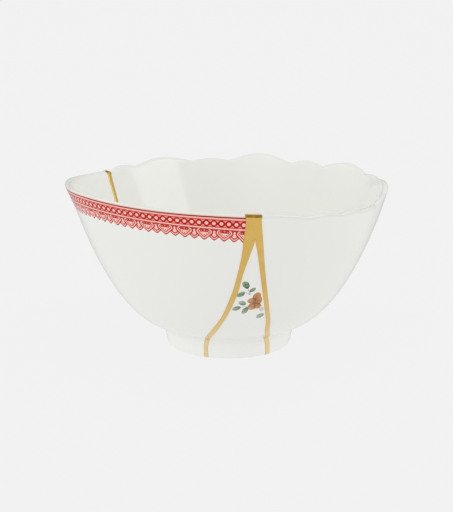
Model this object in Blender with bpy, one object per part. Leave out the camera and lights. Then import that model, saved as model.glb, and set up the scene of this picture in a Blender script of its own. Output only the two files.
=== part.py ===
"""A porcelain bowl mended with gold: three sherds that never matched, and the seam between them.

The bowl stands on its foot ring at Z = 0 with its axis on Z, and its forked front seam faces -Y.
Azimuths are in degrees from -Y, positive towards +X. Every piece is a patch of one shared wall.
Rows run from the lip down the wall, round the foot ring and in to the middle of the floor, and
columns run round the bowl. Each row is a pair of circles, one on the outer skin and one on the
inner. A seam is an azimuth and a width for every row, so the sherds and the gold between them
always fit. The lace border and the flower are only colour on the glaze, so they aren't modelled.
"""

import math
from collections import namedtuple

import bmesh
import bpy
import numpy as np

MM = 0.001

# The outer wall in (radius, height), a cubic curve from the foot ring to where it runs straight.
WALL_START = (29.2 * MM, 9.7 * MM)
WALL_LOW_HANDLE = (45.2 * MM, 12.0 * MM)
WALL_HIGH_HANDLE = (58.6 * MM, 38.6 * MM)
WALL_TOP = (67.5 * MM, 67.1 * MM)
WALL_SAMPLES = 240
NORMAL_STEP = 0.5 * MM

# The level the rim would have without scallops, and how the wall is finished there.
RIM_HEIGHT = 69.3 * MM
LIP_ROUNDING = 0.9 * MM
WALL_THICK_RIM = 2.6 * MM
WALL_THICK_FOOT = 3.6 * MM

# Rows above this height stretch to follow the rim, more and more towards the lip.
STRETCH_FROM = 44.0 * MM
STRETCH_EASE = 1.5

# The foot ring stands on a flat land, and the floor inside it is recessed.
FOOT_TOP = (29.0 * MM, 9.4 * MM)
FOOT_BASE_RADIUS = 26.9 * MM
FOOT_LAND_WIDTH = 1.7 * MM
FOOT_EDGE = 1.0 * MM
FOOT_INNER_TOP = (22.8 * MM, 6.7 * MM)
RECESS_EDGE = (20.6 * MM, 7.5 * MM)
RECESS_HEIGHT = 7.8 * MM
FLOOR_HEIGHT = 12.3 * MM
FLOOR_DISH = 1.2 * MM
FLOOR_RADIUS = 28.8 * MM
FLOOR_INSETS = [inset * MM for inset in (1.6, 3.0, 5.2, 6.6, 8.0, 10.5)]

# Heights of the rows down the wall, one of them at the fork of the front seam.
FORK_HEIGHT = 60.0 * MM
ROW_HEIGHTS = [height * MM for height in (65.5, 60.0, 53.5, 46.0, 38.0, 30.0, 23.0, 17.0, 13.2, 10.9)]

# The plain rim of the lace sherd stands higher and opens wider than the rest. Its height above
# the rim level is given at a few azimuths.
LACE_RIM = [
    (-127.0, -0.2 * MM),
    (-108.0, 1.1 * MM),
    (-90.0, 3.1 * MM),
    (-72.0, 3.7 * MM),
    (-54.0, 4.4 * MM),
    (-36.0, 3.9 * MM),
    (-18.0, 3.1 * MM),
    (-4.0, 2.5 * MM),
    (6.8, 1.8 * MM),
]
LACE_FLARE = 1.4 * MM
LACE_FLARE_FROM = 61.0 * MM
LACE_FLARE_TO = 74.0 * MM
FLARE_FADE = 63.0

# The scalloped rim: where each scallop starts, how far that valley stands off the rim level,
# and the height of the scallop above it. Scallops are deep at the back, and shallow elsewhere.
# The last place is the back seam, where the gold levels the two rims.
SCALLOPS = [
    (8.6, 1.8 * MM, 0.7 * MM),
    (26.9, -0.4 * MM, 0.85 * MM),
    (41.4, -1.45 * MM, 0.8 * MM),
    (53.2, -2.3 * MM, 0.1 * MM),
    (66.7, -2.95 * MM, 0.1 * MM),
    (79.7, -1.0 * MM, 1.25 * MM),
    (103.2, 0.6 * MM, 0.55 * MM),
    (113.1, 0.3 * MM, 2.75 * MM),
    (139.1, -0.2 * MM, 1.55 * MM),
    (153.4, -0.3 * MM, 3.3 * MM),
    (180.2, -0.15 * MM, 0.9 * MM),
    (195.0, -0.1 * MM, 2.4 * MM),
    (220.7, -0.1 * MM, 1.4 * MM),
    (236.0, -0.7 * MM, 0.0),
    (237.2, 0.1 * MM, 0.0),
]
SCALLOP_ROUNDNESS = 1.25
SCALLOP_FLUTE = 0.35
FLUTE_EASE = 3

# The gold seams, as (height, azimuth, width) on the outer skin, from the rim to the foot land.
LEFT_SEAM = [
    (70.0 * MM, 6.8, 3.3 * MM),
    (60.0 * MM, 6.8, 4.3 * MM),
    (54.0 * MM, 5.9, 3.1 * MM),
    (47.5 * MM, 4.55, 2.2 * MM),
    (34.5 * MM, 1.6, 2.2 * MM),
    (23.0 * MM, -3.7, 1.9 * MM),
    (13.0 * MM, -12.6, 2.2 * MM),
    (8.5 * MM, -18.2, 1.9 * MM),
    (0.0, -20.9, 2.0 * MM),
]
RIGHT_SEAM = [
    (70.0 * MM, 8.6, 3.25 * MM),
    (60.0 * MM, 10.1, 2.9 * MM),
    (54.0 * MM, 11.2, 2.4 * MM),
    (47.5 * MM, 12.4, 2.1 * MM),
    (34.5 * MM, 15.5, 1.9 * MM),
    (23.0 * MM, 19.7, 1.9 * MM),
    (13.0 * MM, 25.4, 2.3 * MM),
    (8.5 * MM, 32.7, 2.3 * MM),
    (0.0, 37.9, 2.3 * MM),
]
BACK_SEAM = [
    (70.0 * MM, -122.8, 2.5 * MM),
    (56.0 * MM, -122.2, 2.3 * MM),
    (40.0 * MM, -120.5, 2.1 * MM),
    (25.0 * MM, -123.0, 2.0 * MM),
    (13.0 * MM, -128.0, 1.9 * MM),
    (0.0, -134.0, 1.9 * MM),
]
GOLD_PROUD = 0.25 * MM
POOL_RADIUS = 3.0 * MM
GAP = 0.3 * MM
TIP_CLEARANCE = 1.5 * MM

# How many columns each patch has across it, and a scalloped column's width in degrees.
LACE_COLUMNS = 28
FLOWER_COLUMNS = 8
SCALLOP_COLUMN = 4.2

# The gold's columns across a seam, and across the empty stretches between the seams.
SEAM_COLUMNS = 2
FORK_COLUMNS = 3
RIGHT_COLUMNS = 10
LEFT_COLUMNS = 6

WELD = 2e-6
SHARP_ANGLE = 40.0

PORCELAIN = (0.87, 0.88, 0.84)
GLAZE_ROUGHNESS = 0.12
GOLD = (0.66, 0.43, 0.10)
GOLD_ROUGHNESS = 0.34

# A row's station is the height at which it reads the seams. A wall row holds how deep its outer
# and inner points lie under the outer skin, and a base row holds their radii and heights.
WallRow = namedtuple("WallRow", "station outer_depth inner_depth")
BaseRow = namedtuple("BaseRow", "station outer inner")


def clear_scene():
    """Remove whatever the scene holds."""
    for item in list(bpy.data.objects):
        bpy.data.objects.remove(item, do_unlink=True)


def wall_curve():
    """Sample the outer wall's cubic curve as radii and heights, lowest first."""
    t = np.linspace(0.0, 1.0, WALL_SAMPLES)[:, None]
    a, b, c, d = (np.array(p) for p in (WALL_START, WALL_LOW_HANDLE, WALL_HIGH_HANDLE, WALL_TOP))
    points = (1 - t) ** 3 * a + 3 * (1 - t) ** 2 * t * b + 3 * (1 - t) * t**2 * c + t**3 * d
    return points[:, 0], points[:, 1]


CURVE_RADIUS, CURVE_HEIGHT = wall_curve()
TOP_SLOPE = (WALL_TOP[0] - WALL_HIGH_HANDLE[0]) / (WALL_TOP[1] - WALL_HIGH_HANDLE[1])


def wall_radius(height):
    """Give the plain wall's outer radius, which runs on straight above the curve's top."""
    above = np.maximum(height - WALL_TOP[1], 0.0)
    return np.interp(height, CURVE_HEIGHT, CURVE_RADIUS) + above * TOP_SLOPE


def wall_normal(height):
    """Give the outward normal of the plain wall, as its radial and vertical parts."""
    rise = 2 * NORMAL_STEP
    run = wall_radius(height + NORMAL_STEP) - wall_radius(height - NORMAL_STEP)
    length = np.hypot(rise, run)
    return rise / length, -run / length


def smooth(x):
    """Ease from 0 to 1 as x goes from 0 to 1."""
    x = np.clip(x, 0.0, 1.0)
    return x * x * (3 - 2 * x)


def ease_through(keys, at, column):
    """Follow one column of a table of keys with a curve that has no corners."""
    keys = sorted(keys)
    places = np.array([key[0] for key in keys])
    values = np.array([key[column] for key in keys])
    slopes = np.gradient(values, places)
    at = np.clip(at, places[0], places[-1])
    index = np.clip(np.searchsorted(places, at) - 1, 0, len(keys) - 2)
    span = places[index + 1] - places[index]
    t = (at - places[index]) / span
    start = values[index] * (1 + 2 * t) * (1 - t) ** 2 + slopes[index] * span * t * (1 - t) ** 2
    end = values[index + 1] * t**2 * (3 - 2 * t) + slopes[index + 1] * span * t**2 * (t - 1)
    return start + end


def wrapped(azimuth):
    """Bring an azimuth between the back seam and the back seam one turn on."""
    cut = BACK_SEAM[0][1]
    return (azimuth - cut) % 360.0 + cut


def scalloped_share(azimuth):
    """Ease from 0 on the lace sherd to 1 on the scalloped one, across the front seam."""
    left, right = LEFT_SEAM[0][1], RIGHT_SEAM[0][1]
    return smooth((azimuth - left) / (right - left))


def scallop_lift(azimuth):
    """Give the height of the scalloped rim above the rim level."""
    starts, valleys, heights = (np.array(column) for column in zip(*SCALLOPS))
    index = np.clip(np.searchsorted(starts, azimuth, side="right") - 1, 0, len(starts) - 2)
    t = np.clip((azimuth - starts[index]) / (starts[index + 1] - starts[index]), 0.0, 1.0)
    scallop = heights[index] * np.sin(math.pi * t) ** SCALLOP_ROUNDNESS
    return np.interp(azimuth, starts, valleys) + scallop


def rim_lift(azimuth):
    """Give the rim's height above the rim level all the way round the bowl."""
    azimuth = wrapped(azimuth)
    share = scalloped_share(azimuth)
    return ease_through(LACE_RIM, azimuth, 1) * (1 - share) + scallop_lift(azimuth) * share


def spread(azimuth, height, stretch):
    """Give how far the wall stands outside its plain curve, by the flare and the scallops."""
    azimuth = wrapped(azimuth)
    back, front = BACK_SEAM[0][1], LEFT_SEAM[0][1]
    near = np.minimum(azimuth - back, front - azimuth)
    up = smooth((height - LACE_FLARE_FROM) / (LACE_FLARE_TO - LACE_FLARE_FROM))
    flare = LACE_FLARE * up * smooth(near / FLARE_FADE)
    flute = SCALLOP_FLUTE * scallop_lift(azimuth) * stretch**FLUTE_EASE
    return flare + flute * scalloped_share(azimuth)


def floor_height(radius):
    """Give the height of the dished floor inside the bowl."""
    return FLOOR_HEIGHT + FLOOR_DISH * (radius / FLOOR_RADIUS) ** 2


def bowl_rows():
    """List the rows from the lip to the pool of gold in the middle of the floor."""
    rows = [
        WallRow(RIM_HEIGHT, WALL_THICK_RIM / 2, WALL_THICK_RIM / 2),
        WallRow(RIM_HEIGHT - LIP_ROUNDING, 0.0, WALL_THICK_RIM),
    ]
    for height in ROW_HEIGHTS:
        down = (RIM_HEIGHT - height) / (RIM_HEIGHT - WALL_START[1])
        rows.append(WallRow(height, 0.0, WALL_THICK_RIM + (WALL_THICK_FOOT - WALL_THICK_RIM) * down))
    rows.append(BaseRow(FOOT_TOP[1], FOOT_TOP, (FLOOR_RADIUS, floor_height(FLOOR_RADIUS))))
    land_outer = FOOT_BASE_RADIUS - FOOT_EDGE
    land_inner = land_outer - FOOT_LAND_WIDTH
    underside = [
        (FOOT_BASE_RADIUS, FOOT_EDGE),
        (land_outer, 0.0),
        (land_inner, 0.0),
        (land_inner - FOOT_EDGE, FOOT_EDGE),
        FOOT_INNER_TOP,
        RECESS_EDGE,
    ]
    for outer, inset in zip(underside, FLOOR_INSETS):
        radius = FLOOR_RADIUS - inset
        rows.append(BaseRow(min(outer[1], FOOT_EDGE), outer, (radius, floor_height(radius))))
    rows.append(pool_row(POOL_RADIUS))
    return rows


def pool_row(radius):
    """Make the row at one radius of the recess and the floor, in the middle of the bowl."""
    return BaseRow(0.0, (radius, RECESS_HEIGHT), (radius, floor_height(radius)))


def row_points(row, azimuth, proud):
    """Place one row's outer and inner points, standing proud of the skins by some height."""
    if isinstance(row, WallRow):
        stretch = (row.station - STRETCH_FROM) / (RIM_HEIGHT - STRETCH_FROM)
        stretch = max(stretch, 0.0) ** STRETCH_EASE
        height = row.station + rim_lift(azimuth) * stretch
        radius = wall_radius(height) + spread(azimuth, height, stretch)
        radial, vertical = wall_normal(row.station)
        vertical = vertical * (1 - stretch)
        inward = proud if row.inner_depth > row.outer_depth else 0.0
        outer_radius = radius - (row.outer_depth - proud) * radial
        outer_height = height - row.outer_depth * vertical
        inner_radius = radius - (row.inner_depth + inward) * radial
        inner_height = height - row.inner_depth * vertical
    else:
        outer_radius, outer_height = (value + 0.0 * azimuth for value in row.outer)
        inner_radius, inner_height = row.inner[0] + 0.0 * azimuth, row.inner[1] + proud
    turn = np.radians(azimuth)
    around = np.stack([np.sin(turn), -np.cos(turn)], axis=-1)
    outer = np.concatenate([around * outer_radius[:, None], outer_height[:, None]], axis=1)
    inner = np.concatenate([around * inner_radius[:, None], inner_height[:, None]], axis=1)
    return outer, inner


def edge_shift(rows, seam, side, gap):
    """Give a seam edge's azimuth in every row, measured across the seam at its own slant."""
    stations = np.array([row.station for row in rows])
    centre = ease_through(seam, stations, 1)
    half = ease_through(seam, stations, 2) / 2 + gap
    walls = [isinstance(row, WallRow) for row in rows]
    radius = np.array([wall_radius(r.station) if wall else r.outer[0] for r, wall in zip(rows, walls)])
    height = np.array([r.station if wall else r.outer[1] for r, wall in zip(rows, walls)])
    along = np.hypot(np.gradient(radius), np.gradient(height))
    across = radius * np.radians(np.gradient(centre))
    slant = along / np.hypot(along, across)
    return centre + side * np.degrees(half / (radius * slant))


def build_patch(name, rows, azimuths, filled, material, proud=None, closed=False):
    """Make one solid from the cells of the wall that it fills.

    azimuths has a value for every row and column line, and filled says which cells between
    the lines belong to the piece. Walls are put in wherever a filled cell has an empty
    neighbour. Lines that meet, as at the tip of a sherd, are welded into one.
    """
    row_count, line_count = azimuths.shape
    proud = np.zeros_like(azimuths) if proud is None else proud
    outer, inner = zip(*(row_points(rows[i], azimuths[i], proud[i]) for i in range(row_count)))
    points = np.concatenate([np.array(outer).reshape(-1, 3), np.array(inner).reshape(-1, 3)])
    skin = row_count * line_count

    def corner(i, j, layer):
        return layer * skin + i * line_count + j % line_count

    def is_filled(i, j):
        if closed:
            j = j % filled.shape[1]
        inside = 0 <= i < filled.shape[0] and 0 <= j < filled.shape[1]
        return bool(inside and filled[i, j])

    faces = []
    for i, j in np.argwhere(filled):
        a, b, c, d = (i, j), (i, j + 1), (i + 1, j + 1), (i + 1, j)
        faces.append([corner(*p, 0) for p in (a, d, c, b)])
        faces.append([corner(*p, 1) for p in (a, b, c, d)])
        sides = [((i - 1, j), a, b), ((i, j + 1), b, c), ((i + 1, j), c, d), ((i, j - 1), d, a)]
        for neighbour, start, end in sides:
            if not is_filled(*neighbour):
                cut = [corner(*p) for p in ((*start, 0), (*end, 0), (*end, 1), (*start, 1))]
                turn = 0 if start[0] <= end[0] else 1
                faces.append([cut[turn], cut[turn + 1], cut[turn + 2]])
                faces.append([cut[turn + 2], cut[(turn + 3) % 4], cut[turn]])
    mesh = bpy.data.meshes.new(name)
    mesh.from_pydata(points.tolist(), [], [[int(v) for v in face] for face in faces])
    body = bmesh.new()
    body.from_mesh(mesh)
    bmesh.ops.remove_doubles(body, verts=body.verts, dist=WELD)
    bmesh.ops.dissolve_degenerate(body, edges=body.edges, dist=WELD)
    loose = [vertex for vertex in body.verts if not vertex.link_faces]
    bmesh.ops.delete(body, geom=loose, context="VERTS")
    bmesh.ops.recalc_face_normals(body, faces=body.faces)
    body.to_mesh(mesh)
    body.free()
    mesh.materials.append(material)
    mesh.shade_smooth()
    mesh.set_sharp_from_angle(angle=math.radians(SHARP_ANGLE))
    piece = bpy.data.objects.new(name, mesh)
    bpy.context.scene.collection.objects.link(piece)
    return piece


def between(low, high, fractions):
    """Lay column lines between two edges, which close to a point where they would cross."""
    middle = (low + high) / 2
    low, high = np.minimum(low, middle), np.maximum(high, middle)
    return low[:, None] + (high - low)[:, None] * np.asarray(fractions)[None, :]


def finish(name, colour, roughness, metallic):
    """Make a plain material."""
    material = bpy.data.materials.new(name)
    material.use_nodes = True
    shader = material.node_tree.nodes["Principled BSDF"]
    shader.inputs["Base Color"].default_value = (*colour, 1.0)
    shader.inputs["Roughness"].default_value = roughness
    shader.inputs["Metallic"].default_value = metallic
    return material


def glaze(name):
    """Make the glossy white glaze of one sherd."""
    return finish(name, PORCELAIN, GLAZE_ROUGHNESS, 0.0)


def build_lace_sherd(rows):
    """Build the plain-rimmed sherd, from the back seam round the left to the front seam."""
    low = edge_shift(rows, BACK_SEAM, 1, GAP)
    high = edge_shift(rows, LEFT_SEAM, -1, GAP)
    azimuths = between(low, high, np.linspace(0.0, 1.0, LACE_COLUMNS + 1))
    filled = np.ones((len(rows) - 1, LACE_COLUMNS), bool)
    build_patch("lace_rim_sherd", rows, azimuths, filled, glaze("lace_glaze"))


def scallop_fractions():
    """Give column lines that meet every valley of the scalloped rim, as fractions across it."""
    low, high = SCALLOPS[0][0], BACK_SEAM[0][1] + 360.0
    stops = [valley[0] for valley in SCALLOPS[:-1]] + [high]
    lines = [low]
    for start, end in zip(stops[:-1], stops[1:]):
        steps = max(1, round((end - start) / SCALLOP_COLUMN))
        lines += list(np.linspace(start, end, steps + 1)[1:])
    return (np.array(lines) - low) / (high - low)


def build_scalloped_sherd(rows):
    """Build the scalloped sherd, from the front seam round the right and the back."""
    low = edge_shift(rows, RIGHT_SEAM, 1, GAP)
    high = edge_shift(rows, BACK_SEAM, -1, GAP) + 360.0
    fractions = scallop_fractions()
    azimuths = between(low, high, fractions)
    filled = np.ones((len(rows) - 1, len(fractions) - 1), bool)
    build_patch("scalloped_rim_sherd", rows, azimuths, filled, glaze("scalloped_glaze"))


def build_flower_sherd(rows):
    """Build the pointed sherd under the fork, from its tip to the middle of the floor."""
    kept = [row for row in rows if row.station <= FORK_HEIGHT]
    low = edge_shift(kept, LEFT_SEAM, 1, GAP)
    high = edge_shift(kept, RIGHT_SEAM, -1, GAP)
    middle = (low + high) / 2
    down = TIP_CLEARANCE / (kept[0].station - kept[1].station)
    low[0] = high[0] = middle[0] * (1 - down) + middle[1] * down
    kept[0] = kept[0]._replace(station=FORK_HEIGHT - TIP_CLEARANCE)
    azimuths = between(low, high, np.linspace(0.0, 1.0, FLOWER_COLUMNS + 1))
    filled = np.ones((len(kept) - 1, FLOWER_COLUMNS), bool)
    build_patch("flower_sherd", kept, azimuths, filled, glaze("flower_glaze"))


def build_gold(rows):
    """Build the gold: a forked front seam and a back seam that meet in a pool on the floor."""
    left = [edge_shift(rows, LEFT_SEAM, side, 0.0) for side in (-1, 1)]
    right = [edge_shift(rows, RIGHT_SEAM, side, 0.0) for side in (-1, 1)]
    back = [edge_shift(rows, BACK_SEAM, side, 0.0) + 360.0 for side in (-1, 1)]
    fork = (left[1] + right[0]) / 2
    bands = [
        (left[0], np.minimum(left[1], fork), SEAM_COLUMNS, True),
        (left[1], right[0], FORK_COLUMNS, False),
        (np.maximum(right[0], fork), right[1], SEAM_COLUMNS, True),
        (right[1], back[0], RIGHT_COLUMNS, False),
        (back[0], back[1], SEAM_COLUMNS, True),
        (back[1], left[0] + 360.0, LEFT_COLUMNS, False),
    ]
    azimuths = [between(low, high, np.linspace(0, 1, n + 1)[:-1]) for low, high, n, _ in bands]
    azimuths = np.concatenate(azimuths, axis=1)
    azimuths = np.concatenate([azimuths, azimuths[-1:]])
    gold = np.concatenate([[is_gold] * n for _, _, n, is_gold in bands])
    filled = np.repeat(gold[None, :], len(rows), axis=0)
    stem = sum(row.station > FORK_HEIGHT for row in rows)
    filled[:stem, SEAM_COLUMNS : SEAM_COLUMNS + FORK_COLUMNS] = True
    filled[-1, :] = True
    around = np.stack([filled, np.roll(filled, 1, axis=1)])
    below = np.concatenate([around, np.ones((2, 1, around.shape[2]), bool)], axis=1)
    above = np.concatenate([np.ones((2, 1, around.shape[2]), bool), around], axis=1)
    proud = np.where((below & above).all(axis=0), GOLD_PROUD, 0.0)
    material = finish("seam_gold", GOLD, GOLD_ROUGHNESS, 1.0)
    build_patch("gold_seams", [*rows, pool_row(0.0)], azimuths, filled, material, proud, closed=True)


def main():
    """Build the three sherds and the gold."""
    clear_scene()
    rows = bowl_rows()
    sherd_rows = [*rows[:-1], pool_row(POOL_RADIUS + GAP)]
    build_lace_sherd(sherd_rows)
    build_scalloped_sherd(sherd_rows)
    build_flower_sherd(sherd_rows)
    build_gold(rows)


main()
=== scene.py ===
"""A porcelain bowl mended with gold, as it looks in a soft studio.

Three sherds of different bowls and the gold between them are patches of one wall. A patch is a
lattice of column lines and rows. The rows run from the top of the lip down the outer skin, round
the foot and in to the middle of the floor, and each has a partner on the inner skin. The border
and the flower are paint under the glaze, so they live in the materials and not in the shape.

Sizes are in millimetres and angles in degrees until a mesh is made. An azimuth is measured from
-Y, where the forked seam is, and is positive towards +X.
"""

import logging
import math
from collections.abc import Sequence
from dataclasses import dataclass, field, replace
from enum import Enum
from functools import reduce
from typing import Any

import bmesh
import bpy
import numpy as np
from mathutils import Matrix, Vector


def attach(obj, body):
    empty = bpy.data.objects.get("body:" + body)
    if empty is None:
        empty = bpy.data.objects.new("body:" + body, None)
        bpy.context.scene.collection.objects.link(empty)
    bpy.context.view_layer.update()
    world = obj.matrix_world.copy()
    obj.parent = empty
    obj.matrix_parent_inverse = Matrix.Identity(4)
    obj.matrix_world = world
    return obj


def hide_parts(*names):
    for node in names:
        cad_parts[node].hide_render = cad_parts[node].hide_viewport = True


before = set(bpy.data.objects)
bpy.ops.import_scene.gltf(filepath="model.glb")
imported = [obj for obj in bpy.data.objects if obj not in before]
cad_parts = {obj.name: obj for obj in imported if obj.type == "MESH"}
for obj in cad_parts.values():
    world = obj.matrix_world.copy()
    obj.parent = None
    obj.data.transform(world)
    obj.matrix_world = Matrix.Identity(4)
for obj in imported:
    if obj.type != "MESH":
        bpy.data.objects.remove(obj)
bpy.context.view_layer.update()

MM = 0.001
FULL_TURN = 360.0
TINY = 1e-9
SURFACE_MAP = "glaze"
# An inner skin's surface map is the outer skin's times this, so its distances down are negative.
INNER_SKIN = (1.0, -1.0)

Pair = tuple[float, float]
Triple = tuple[float, float, float]
Key = tuple[float, ...]
Array = np.ndarray

log = logging.getLogger("bowl")


class Side(Enum):
    """The two edges of a seam: the one at lower azimuths, and the one at higher."""

    LOW = -1
    HIGH = 1


def smooth(x: Array) -> Array:
    """Ease from 0 to 1 as x goes from 0 to 1, as 3x^2 - 2x^3."""
    x = np.clip(x, 0.0, 1.0)
    return x * x * (3 - 2 * x)


def hermite(ends: tuple[Any, Any], slopes: tuple[Any, Any], t: Array) -> Array:
    """Follow the cubic Hermite curve between two ends.

    Args:
        ends: The values where t is 0 and where it is 1.
        slopes: How fast the value changes with t at the two ends.
        t: The places to read, from 0 to 1.

    Returns:
        A (1 + 2t) (1 - t)^2 + a t (1 - t)^2 + B t^2 (3 - 2t) + b t^2 (t - 1) at each place, where
        A and B are the ends and a and b the slopes.
    """
    leave = ends[0] * (1 + 2 * t) * (1 - t) ** 2 + slopes[0] * t * (1 - t) ** 2
    arrive = ends[1] * t**2 * (3 - 2 * t) + slopes[1] * t**2 * (t - 1)
    return leave + arrive


def ease_through(keys: Sequence[Key], at: Array, column: int) -> Array:
    """Follow one column of a table of keys with a curve that has no corners.

    Between two keys the value follows the Hermite curve through both, with each key's slope
    taken from its two neighbours.

    Args:
        keys: Rows of numbers, the first of them the place of the key.
        at: The places to read, kept between the first and the last key.
        column: Which number of the rows to follow.

    Returns:
        The value at each place.
    """
    keys = sorted(keys)
    places = np.array([key[0] for key in keys])
    values = np.array([key[column] for key in keys])
    slopes = np.gradient(values, places)
    at = np.clip(at, places[0], places[-1])
    low = np.clip(np.searchsorted(places, at) - 1, 0, len(keys) - 2)
    high = low + 1
    span = places[high] - places[low]
    ends = (values[low], values[high])
    return hermite(ends, (slopes[low] * span, slopes[high] * span), (at - places[low]) / span)


def distance_along(points: Array) -> Array:
    """Give the distance along a path at each of its points, the sum of the steps before it."""
    steps = np.linalg.norm(np.diff(points, axis=0), axis=-1)
    return np.concatenate([np.zeros_like(steps[:1]), np.cumsum(steps, axis=0)])


def read_along(points: Array, fractions: Array) -> Array:
    """Read a path at fractions of its length, between its points in proportion."""
    along = distance_along(points)
    at = fractions * along[-1]
    return np.stack([np.interp(at, along, column) for column in points.T], axis=1)


def added(name: str, data: bpy.types.ID) -> bpy.types.Object:
    """Add an object to the scene."""
    thing = bpy.data.objects.new(name, data)
    bpy.context.scene.collection.objects.link(thing)
    return thing


def rounded_path(corners: Sequence[Pair], radii: Sequence[float], spacing: float) -> Array:
    """Run straight between corners and round each inner corner off.

    A corner C with radius r is replaced by the quadratic curve from r before it to r after it,
    (1-t)^2 A + 2t(1-t) C + t^2 B. The straight stretches are then cut into even steps.

    Args:
        corners: The path's points, as (radius, height).
        radii: How far before and after each inner corner its curve starts and ends.
        spacing: The longest step on the straight stretches.

    Returns:
        The points of the path, one row each.
    """
    arc_points = 7
    t = np.linspace(0.0, 1.0, arc_points)[:, None]
    points = np.array(corners, float)
    path = [points[:1]]
    for before, corner, after, radius in zip(points, points[1:], points[2:], radii):
        a = corner + (before - corner) * radius / np.linalg.norm(before - corner)
        b = corner + (after - corner) * radius / np.linalg.norm(after - corner)
        path.append(straight_steps(path[-1][-1], a, spacing)[1:])
        path.append((1 - t[1:]) ** 2 * a + 2 * t[1:] * (1 - t[1:]) * corner + t[1:] ** 2 * b)
    path.append(straight_steps(path[-1][-1], points[-1], spacing)[1:])
    return np.concatenate(path)


def straight_steps(start: Array, end: Array, spacing: float) -> Array:
    """Cut a straight stretch into even steps no longer than the spacing."""
    count = max(1, math.ceil(np.linalg.norm(end - start) / spacing))
    return start + (end - start) * np.linspace(0.0, 1.0, count + 1)[:, None]


def lines_between(low: Array, high: Array, fractions: Array) -> Array:
    """Lay column lines between two edges, meeting in the middle where the edges would cross."""
    middle = (low + high) / 2
    low, high = np.minimum(low, middle), np.maximum(high, middle)
    return low[:, None] + (high - low)[:, None] * fractions[None, :]


@dataclass(frozen=True)
class Rows:
    """The rows of the lattice. Each array has one entry for each row, the lip's top first.

    The first rows, wall_count of them, lie on the wall, where outer_depth and inner_depth say
    how deep under the outer skin their two points are. The rest lie on the foot and the floor,
    at the points in outer and inner. A station is the height at which a row reads the seams.
    """

    station: Array
    outer_depth: Array
    inner_depth: Array
    outer: Array
    inner: Array
    wall_count: int


@dataclass(frozen=True)
class Rim:
    """How high each part of the rim stands above the rim level, and how it spreads.

    The lace sherd's rim is plain: lace holds its lift at a few azimuths, joined by a curve. The
    rest is scalloped: scallops holds each scallop's first azimuth, the level of the valley there
    and the scallop's own height. The valleys are joined by straight lines, and a scallop adds
    its height times sin(pi t) to a power, t going from 0 to 1 across it.
    """

    lace: tuple[Key, ...] = (
        (-127.0, -0.2),
        (-108.0, 1.1),
        (-90.0, 3.1),
        (-72.0, 3.7),
        (-54.0, 4.4),
        (-36.0, 3.9),
        (-18.0, 3.1),
        (-4.0, 2.5),
        (6.8, 1.8),
    )
    flare: float = 1.4
    flare_from: float = 61.0
    flare_to: float = 74.0
    flare_fade: float = 63.0
    scallops: tuple[Key, ...] = (
        (8.6, 1.8, 0.7),
        (26.9, -0.4, 0.85),
        (41.4, -1.45, 0.8),
        (53.2, -2.3, 0.1),
        (66.7, -2.95, 0.1),
        (79.7, -1.0, 1.25),
        (103.2, 0.6, 0.55),
        (113.1, 0.3, 2.75),
        (139.1, -0.2, 1.55),
        (153.4, -0.3, 3.3),
        (180.2, -0.15, 0.9),
        (195.0, -0.1, 2.4),
        (220.7, -0.1, 1.4),
        (236.0, -0.7, 0.0),
        (237.2, 0.1, 0.0),
    )
    roundness: float = 1.25
    flute: float = 0.35
    flute_ease: int = 3
    back: float = -122.8
    front_low: float = 6.8
    front_high: float = 8.6

    def wrapped(self, azimuth: Array) -> Array:
        """Bring azimuths into the turn that starts at the back seam."""
        return (azimuth - self.back) % FULL_TURN + self.back

    def scalloped_share(self, azimuth: Array) -> Array:
        """Ease from 0 on the lace sherd to 1 on the scalloped one, across the front seam."""
        return smooth((azimuth - self.front_low) / (self.front_high - self.front_low))

    def scallop_lift(self, azimuth: Array) -> Array:
        """Give the lift of the scalloped rim: the valleys' line plus the scallop there."""
        starts, valleys, heights = (np.array(column) for column in zip(*self.scallops))
        index = np.clip(np.searchsorted(starts, azimuth, side="right") - 1, 0, len(starts) - 2)
        t = np.clip((azimuth - starts[index]) / (starts[index + 1] - starts[index]), 0.0, 1.0)
        scallop = heights[index] * np.sin(math.pi * t) ** self.roundness
        return np.interp(azimuth, starts, valleys) + scallop

    def lift(self, azimuth: Array) -> Array:
        """Give the rim's lift all the way round, the two kinds blended across the front seam."""
        azimuth = self.wrapped(azimuth)
        share = self.scalloped_share(azimuth)
        plain = ease_through(self.lace, azimuth, 1)
        return plain * (1 - share) + self.scallop_lift(azimuth) * share

    def spread(self, azimuth: Array, height: Array, stretch: Array) -> Array:
        """Give how far the wall stands outside its plain curve.

        The lace sherd flares: its full flare, eased in with the height and away from its two
        ends. The scallops are fluted: a share of their lift, eased in towards the lip.

        Args:
            azimuth: Where round the bowl.
            height: The height of the point.
            stretch: How far the row follows the rim, from 0 to 1.

        Returns:
            The extra radius at each point.
        """
        azimuth = self.wrapped(azimuth)
        near = np.minimum(azimuth - self.back, self.front_low - azimuth)
        up = smooth((height - self.flare_from) / (self.flare_to - self.flare_from))
        flare = self.flare * up * smooth(near / self.flare_fade)
        flute = self.flute * self.scallop_lift(azimuth) * stretch**self.flute_ease
        return flare + flute * self.scalloped_share(azimuth)


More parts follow.
